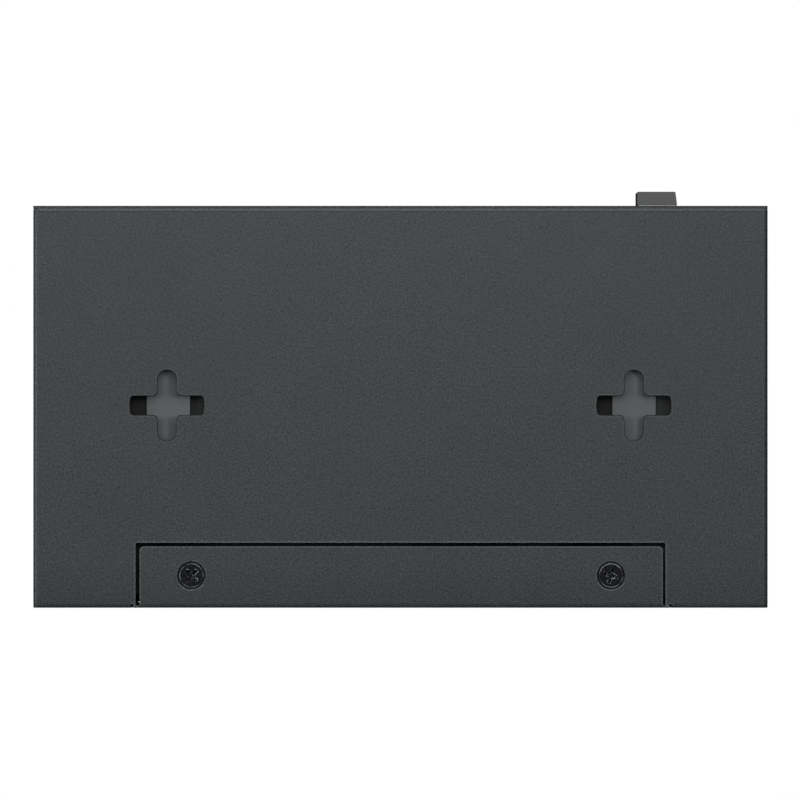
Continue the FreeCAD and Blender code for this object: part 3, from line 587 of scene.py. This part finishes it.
class Pattern(Nodes):
    """A Geometry Nodes tree that stands one small part at each of its places."""

    place_values = ("turn", "size")

    def __init__(self, name, **sizes):
        super().__init__(bpy.data.node_groups.new(name, "GeometryNodeTree"))
        self.sizes = sizes
        face = self.tree.interface
        face.new_socket("Parts", in_out="OUTPUT", socket_type="NodeSocketGeometry")
        face.new_socket("Places", in_out="INPUT", socket_type="NodeSocketGeometry")
        self.keys = {}
        for label in sizes:
            made = face.new_socket(label, in_out="INPUT", socket_type="NodeSocketFloat")
            self.keys[label] = made.identifier
        self.given = self.node("NodeGroupInput").outputs

    def point(self, x, y, z):
        return self.node("ShaderNodeCombineXYZ", {"X": x, "Y": y, "Z": z}).outputs["Vector"]

    def place_value(self, label):
        """A vector that each place carries."""
        settings = {"data_type": "FLOAT_VECTOR"}
        made = self.node("GeometryNodeInputNamedAttribute", {"Name": label}, **settings)
        return made.outputs["Attribute"]

    def strip(self, path, thickness):
        """A flat strip one metre wide along a path in the upright plane through X."""
        upright = self.node("GeometryNodeSetCurveNormal", {"Curve": path}, mode="Z_UP")
        sizes = {"Width": 1.0, "Height": thickness}
        section = self.node("GeometryNodeCurvePrimitiveQuadrilateral", sizes)
        inputs = {
            "Curve": upright.outputs["Curve"],
            "Profile Curve": section.outputs["Curve"],
            "Fill Caps": True,
        }
        return self.node("GeometryNodeCurveToMesh", inputs).outputs["Mesh"]

    def stand(self, part):
        """The part at each place, turned and stretched by the place's own values."""
        turn, size = (self.place_value(label) for label in self.place_values)
        turned = self.node("FunctionNodeEulerToRotation", {"Euler": turn})
        inputs = {
            "Points": self.given["Places"],
            "Instance": part,
            "Rotation": turned.outputs["Rotation"],
            "Scale": size,
        }
        stood = self.node("GeometryNodeInstanceOnPoints", inputs).outputs["Instances"]
        plain = self.node("GeometryNodeRealizeInstances", {"Geometry": stood})
        self.plain = plain.outputs["Geometry"]

    def make(self, name, places, material):
        """One plain mesh with the part at each place, riding on the case."""
        inputs = {"Geometry": self.plain, "Material": material}
        coated = self.node("GeometryNodeSetMaterial", inputs)
        self.node("NodeGroupOutput", {"Parts": coated.outputs["Geometry"]})
        cloud = bpy.data.meshes.new(name + "_places")
        cloud.from_pydata([place for place, turn, size in places], [], [])
        for column, label in enumerate(self.place_values, start=1):
            values = cloud.attributes.new(label, "FLOAT_VECTOR", "POINT")
            values.data.foreach_set("vector", [part for row in places for part in row[column]])
        holder = bpy.data.objects.new(name, cloud)
        scene.collection.objects.link(holder)
        modifier = holder.modifiers.new("pattern", "NODES")
        modifier.node_group = self.tree
        for label, value in self.sizes.items():
            modifier[self.keys[label]] = value
        settled = holder.evaluated_get(bpy.context.evaluated_depsgraph_get())
        mesh = bpy.data.meshes.new_from_object(settled)
        holder.modifiers.remove(modifier)
        for label in self.place_values:
            mesh.attributes.remove(mesh.attributes[label])
        mesh.materials.clear()
        mesh.materials.append(material)
        mesh.polygons.foreach_set("material_index", [0] * len(mesh.polygons))
        holder.data = mesh
        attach(holder, "root")


def legs(name):
    """Bent legs of chips: out of the body's side, down and flat on to the board."""
    pattern = Pattern(name, Reach=1.3 * MM, Height=0.7 * MM, Thickness=0.15 * MM)
    reach, height, thickness = (pattern.given[label] for label in pattern.sizes)
    low = pattern.maths("MULTIPLY", thickness, 0.5)
    shoulder = pattern.maths("MULTIPLY", reach, 0.75)
    heel = pattern.maths("MULTIPLY", reach, 0.15)
    inputs = {
        "Resolution": 8,
        "Start": pattern.point(0.0, 0.0, height),
        "Start Handle": pattern.point(shoulder, 0.0, height),
        "End Handle": pattern.point(heel, 0.0, low),
        "End": pattern.point(reach, 0.0, low),
    }
    path = pattern.node("GeometryNodeCurvePrimitiveBezierSegment", inputs, mode="POSITION")
    pattern.stand(pattern.strip(path.outputs["Curve"], thickness))
    return pattern


def leaves(name):
    """Sprung leaves that bow off the plane they start and end on."""
    pattern = Pattern(name, Reach=3.6 * MM, Bow=0.55 * MM, Thickness=0.2 * MM)
    reach, bow, thickness = (pattern.given[label] for label in pattern.sizes)
    crest = pattern.maths("MULTIPLY", reach, 0.6)
    rise = pattern.maths("MULTIPLY", bow, 2.0)
    inputs = {
        "Resolution": 12,
        "Start": (0.0, 0.0, 0.0),
        "Middle": pattern.point(crest, 0.0, rise),
        "End": pattern.point(reach, 0.0, 0.0),
    }
    path = pattern.node("GeometryNodeCurveQuadraticBezier", inputs)
    pattern.stand(pattern.strip(path.outputs["Curve"], thickness))
    return pattern


def blocks(name):
    """Plain blocks, each as large as its place says."""
    pattern = Pattern(name, Side=1.0)
    side = pattern.given["Side"]
    cube = pattern.node("GeometryNodeMeshCube", {"Size": pattern.point(side, side, side)})
    pattern.stand(cube.outputs["Mesh"])
    return pattern


def joints(name):
    """Soldered pin ends: a fillet of solder with the pin standing out of it."""
    pattern = Pattern(name, Foot=0.85 * MM, Pin=0.3 * MM, Height=0.7 * MM)
    foot, pin, height = (pattern.given[label] for label in pattern.sizes)
    inputs = {"Vertices": 20, "Radius Top": pin, "Radius Bottom": foot, "Depth": height}
    fillet = pattern.node("GeometryNodeMeshCone", inputs).outputs["Mesh"]
    thin = pattern.maths("MULTIPLY", pin, 0.8)
    length = pattern.maths("MULTIPLY", height, 1.3)
    inputs = {"Vertices": 12, "Radius": thin, "Depth": length}
    post = pattern.node("GeometryNodeMeshCylinder", inputs).outputs["Mesh"]
    lift = pattern.point(0.0, 0.0, pattern.maths("MULTIPLY", height, 0.65))
    raised = pattern.node("GeometryNodeTransform", {"Geometry": post, "Translation": lift})
    both = pattern.node("GeometryNodeJoinGeometry")
    for part in (fillet, raised.outputs["Geometry"]):
        pattern.join(both.inputs["Geometry"], part)
    pattern.stand(both.outputs["Geometry"])
    return pattern


def socket_middles():
    """The middle of each network socket across the port panel."""
    middles = []
    for name, ports in (("poe_port_housing", 4), ("uplink_port_housing", 2)):
        low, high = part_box(name)
        pitch = (high.x - low.x) / ports
        middles += [low.x + pitch * (index + 0.5) for index in range(ports)]
    return middles


def along_sides(node, pitch, width, sides=(0, 1, 2, 3), room=1.4 * MM):
    """Places for legs along the sides of a chip, each side named by its quarter turns."""
    low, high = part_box(node)
    middle = (low + high) / 2
    reach = (high - low) / 2
    places = []
    for side in sides:
        out, span = (reach.y, reach.x) if side % 2 else (reach.x, reach.y)
        count = int((2 * span - room) / pitch) + 1
        angle = side * math.pi / 2
        for index in range(count):
            step = Vector((out, (index - (count - 1) / 2) * pitch, 0.0))
            place = middle + Matrix.Rotation(angle, 3, "Z") @ step
            place.z = low.z
            places.append((place, (0.0, 0.0, angle), (1.0, width, 1.0)))
    return places


def add_legs():
    """The legs of the three chips, and of the power transistors."""
    tin = metal("tinned_legs", (0.62, 0.62, 0.60), 0.30)
    places = along_sides("switch_chip", 0.5 * MM, 0.22 * MM)
    places += along_sides("poe_controller_chip", 0.65 * MM, 0.30 * MM)
    places += along_sides("flash_chip", 1.27 * MM, 0.42 * MM, sides=(0, 2), room=1.0 * MM)
    legs("chip legs").make("chip_legs", places, tin)
    low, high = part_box("power_transistors")
    transistors = 3
    body = 6.1 * MM
    leg_aside = 2.3 * MM
    leg_size = (1.6, 0.8 * MM, 1.6)
    pitch = (high.y - low.y - body) / (transistors - 1)
    places = []
    for index in range(transistors):
        middle = low.y + body / 2 + pitch * index
        for aside in (-leg_aside, leg_aside):
            places.append(((high.x, middle + aside, low.z), (0.0, 0.0, 0.0), leg_size))
    legs("transistor legs").make("transistor_legs", places, tin)


def add_leaves():
    """A sprung earthing leaf on each side of every socket's mouth, and its root in the shield."""
    tin = metal("sprung_tin", (0.62, 0.62, 0.60), 0.26)
    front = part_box("poe_port_shield")[0].y
    height = 14.9 * MM
    width = 3.0 * MM
    leaf_aside, leaf_inset = 5.84 * MM, 0.04 * MM
    root_aside, root_inset = 6.03 * MM, 0.13 * MM
    root_size = (0.24 * MM, 0.2 * MM, width)
    bent = []
    roots = []
    for middle in socket_middles():
        for hand in (-1, 1):
            turn = Matrix(((0, 0, -hand), (1, 0, 0), (0, -hand, 0))).to_euler()
            place = (middle + hand * leaf_aside, front + leaf_inset, height)
            bent.append((place, turn, (1.0, width, 1.0)))
            place = (middle + hand * root_aside, front + root_inset, height)
            roots.append((place, (0.0, 0.0, 0.0), root_size))
    leaves("earthing leaves").make("earthing_leaves", bent, tin)
    blocks("leaf roots").make("leaf_roots", roots, tin)


def add_chip_parts():
    """Rows of small resistors and capacitors, each a body between two tinned ends."""
    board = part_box("main_board")[1].z
    # First x and y, pitch, count and quarter turns of each row, in millimetres
    rows = (
        (-29.0, -18.4, 3.4, 25, 1), (-29.0, -15.6, 6.8, 13, 0), (-26.6, 13.6, 2.4, 6, 1),
        (-26.6, -1.8, 2.4, 6, 1), (32.4, 15.4, 2.6, 4, 0), (31.4, 1.6, 2.6, 5, 0),
        (-50.0, 8.0, 3.0, 3, 1), (-50.0, 12.0, 3.0, 3, 1), (-8.2, -1.0, 2.6, 3, 1),
        (-8.2, 12.0, 2.6, 3, 1), (46.5, -2.0, 2.8, 4, 0), (46.5, 9.0, 2.8, 4, 0),
    )
    heights = {"resistors": 0.45 * MM, "capacitors": 0.80 * MM}
    body_length, body_width = 1.1 * MM, 0.8 * MM
    end_length, end_width = 0.3 * MM, 0.84 * MM
    end_aside = 0.68 * MM
    bodies = {kind: [] for kind in heights}
    ends = []
    for row, (x, y, pitch, count, quarter) in enumerate(rows):
        kind = list(heights)[row % 2]
        height = heights[kind]
        turn = (0.0, 0.0, quarter * math.pi / 2)
        for index in range(count):
            middle = Vector(((x + index * pitch) * MM, y * MM, board + height / 2))
            bodies[kind].append((middle, turn, (body_length, body_width, height)))
            for hand in (-1, 1):
                step = Matrix.Rotation(turn[2], 3, "Z") @ Vector((hand * end_aside, 0.0, 0.0))
                ends.append((middle + step, turn, (end_length, end_width, height)))
    black = moulded("resistor_glaze", (0.018, 0.018, 0.020), 0.35, grain=0.15)
    tan = moulded("capacitor_ceramic", (0.30, 0.20, 0.115), 0.55, grain=0.15)
    tin = metal("tinned_ends", (0.62, 0.62, 0.60), 0.32)
    blocks("resistor bodies").make("chip_resistors", bodies["resistors"], black)
    blocks("capacitor bodies").make("chip_capacitors", bodies["capacitors"], tan)
    blocks("tinned ends").make("chip_part_ends", ends, tin)


def add_joints():
    """Soldered joints under the board for the sockets, the inlet and the tall parts."""
    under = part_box("main_board")[0].z - 0.02 * MM
    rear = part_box("poe_port_housing")[1].y
    pins = 8
    pin_pitch = 1.27 * MM
    first_row, row_gap = 3.0 * MM, 2.54 * MM
    can_radius = 5.0 * MM
    pin_gaps = {
        "filter_capacitors": 5.0 * MM,
        "storage_inductor": 7.0 * MM,
        "input_choke": 7.0 * MM,
    }
    inlet_rows = (2.5 * MM, 6.0 * MM)
    size = (0.6, 0.6, 0.6)
    spots = []
    for middle in socket_middles():
        for index in range(pins):
            aside = (index - (pins - 1) / 2) * pin_pitch
            spots.append((middle + aside, rear - first_row - row_gap * (index % 2)))
    for name, gap in pin_gaps.items():
        low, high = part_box(name)
        middles = [(low.x + high.x) / 2]
        if name == "filter_capacitors":
            middles = [low.x + can_radius, high.x - can_radius]
        for middle in middles:
            for hand in (-0.5, 0.5):
                spots.append((middle + hand * gap, (low.y + high.y) / 2))
    low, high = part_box("power_inlet_housing")
    for step in inlet_rows:
        spots.append(((low.x + high.x) / 2, low.y + step))
    places = [((x, y, under), (math.pi, 0.0, 0.0), size) for x, y in spots]
    solder = metal("solder", (0.60, 0.60, 0.58), 0.28)
    joints("soldered joints").make("soldered_joints", places, solder)


# Floor, background and light


def add_floor():
    """A pale floor that shows from above only, and neither hides the underside nor shades it."""
    half = 2.0
    drop = 0.05 * MM
    corners = ((-half, -half), (half, -half), (half, half), (-half, half))
    mesh = bpy.data.meshes.new("floor")
    mesh.from_pydata([(x, y, -drop) for x, y in corners], [], [(0, 1, 2, 3)])
    floor = bpy.data.objects.new("floor", mesh)
    scene.collection.objects.link(floor)
    f = Finish("pale_floor", (0.86, 0.86, 0.86), 0.8, specular=0.1)
    f.set("Base Color", f.shade(f.vary(f.noise(40 * MM, detail=4.0), 0.985, 1.015)))
    clear = f.node("ShaderNodeBsdfTransparent").outputs["BSDF"]
    facing = f.node("ShaderNodeNewGeometry").outputs["Backfacing"]
    inputs = {"Fac": facing, 1: f.shader.outputs["BSDF"], 2: clear}
    mix = f.node("ShaderNodeMixShader", inputs).outputs["Shader"]
    f.join(f.tree.nodes["Material Output"].inputs["Surface"], mix)
    mesh.materials.append(f.material)
    floor.visible_shadow = False
    floor.visible_diffuse = False
    floor.visible_glossy = False


def add_world():
    """An even room: white behind the object, and in reflections white above and dark below."""
    world = bpy.data.worlds.new("room")
    scene.world = world
    world.use_nodes = True
    world.node_tree.nodes.clear()
    room = Nodes(world.node_tree)
    path = room.node("ShaderNodeLightPath").outputs
    around = room.node("ShaderNodeTexCoord").outputs["Generated"]
    inputs = {
        "Value": room.node("ShaderNodeSeparateXYZ", {"Vector": around}).outputs["Z"],
        "From Min": -0.2,
        "From Max": 0.4,
        "To Min": level_under_floor,
    }
    mirrored_level = room.node("ShaderNodeMapRange", inputs).outputs["Result"]
    ambient, mirrored, white = (
        room.node("ShaderNodeBackground", {"Color": grey(1.0), "Strength": level}).outputs[0]
        for level in (ambient_level, mirrored_level, background_level)
    )
    inputs = {"Fac": path["Is Glossy Ray"], 1: ambient, 2: mirrored}
    unseen = room.node("ShaderNodeMixShader", inputs).outputs[0]
    seen = room.maths("MAXIMUM", path["Is Camera Ray"], path["Is Transmission Ray"])
    whole = room.node("ShaderNodeMixShader", {"Fac": seen, 1: unseen, 2: white}).outputs[0]
    room.node("ShaderNodeOutputWorld", {"Surface": whole})


def add_softbox(name, place, size, power, mirrored=True):
    """A square area lamp in watts that points at the middle of the case."""
    data = bpy.data.lights.new(name, "AREA")
    data.shape = "SQUARE"
    data.size = size
    data.energy = power
    lamp = bpy.data.objects.new(name, data)
    lamp.visible_camera = False
    lamp.visible_glossy = mirrored
    scene.collection.objects.link(lamp)
    lamp.location = place
    aim = (cad_low + cad_high) / 2 - Vector(place)
    lamp.rotation_euler = aim.to_track_quat("-Z", "Y").to_euler()


def add_lights():
    """Softboxes below for the underside, and above for the top and the sides."""
    add_softbox("under_middle", (0.0, 0.0, -1.4), 0.40, 1.30, mirrored=False)
    add_softbox("under_left", (0.22, 0.05, -0.45), 0.12, 0.59, mirrored=False)
    add_softbox("under_right", (-0.22, 0.05, -0.45), 0.12, 0.97, mirrored=False)
    add_softbox("under_side", (0.55, 0.10, -0.30), 0.20, 1.0)
    add_softbox("under_rear", (0.0, 0.26, -0.62), 0.30, 0.78)
    add_softbox("over_front", (0.25, -0.75, 0.65), 0.45, 4.0)
    add_softbox("over_left", (-0.75, 0.10, 0.75), 0.45, 3.0)
    add_softbox("over_rear", (0.35, 0.80, 0.55), 0.45, 3.0)


def add_camera():
    """A long lens straight below the case, with the case's rear at the top of the picture."""
    x, y = ((pixel - photo_pixels / 2) * metres_per_pixel for pixel in case_centre_pixel)
    data = bpy.data.cameras.new("camera")
    data.sensor_width = sensor_width
    data.lens = sensor_width * camera_distance / (photo_pixels * metres_per_pixel)
    data.clip_start = 0.1
    data.clip_end = 10.0
    camera = bpy.data.objects.new("camera", data)
    camera.location = (x, y, -camera_distance)
    camera.rotation_euler = (0.0, math.pi, 0.0)
    scene.collection.objects.link(camera)
    scene.camera = camera


add_camera()
dress_nodes()
add_legs()
add_leaves()
add_chip_parts()
add_joints()
add_floor()
add_world()
add_lights()

scene.view_settings.view_transform = "Standard"
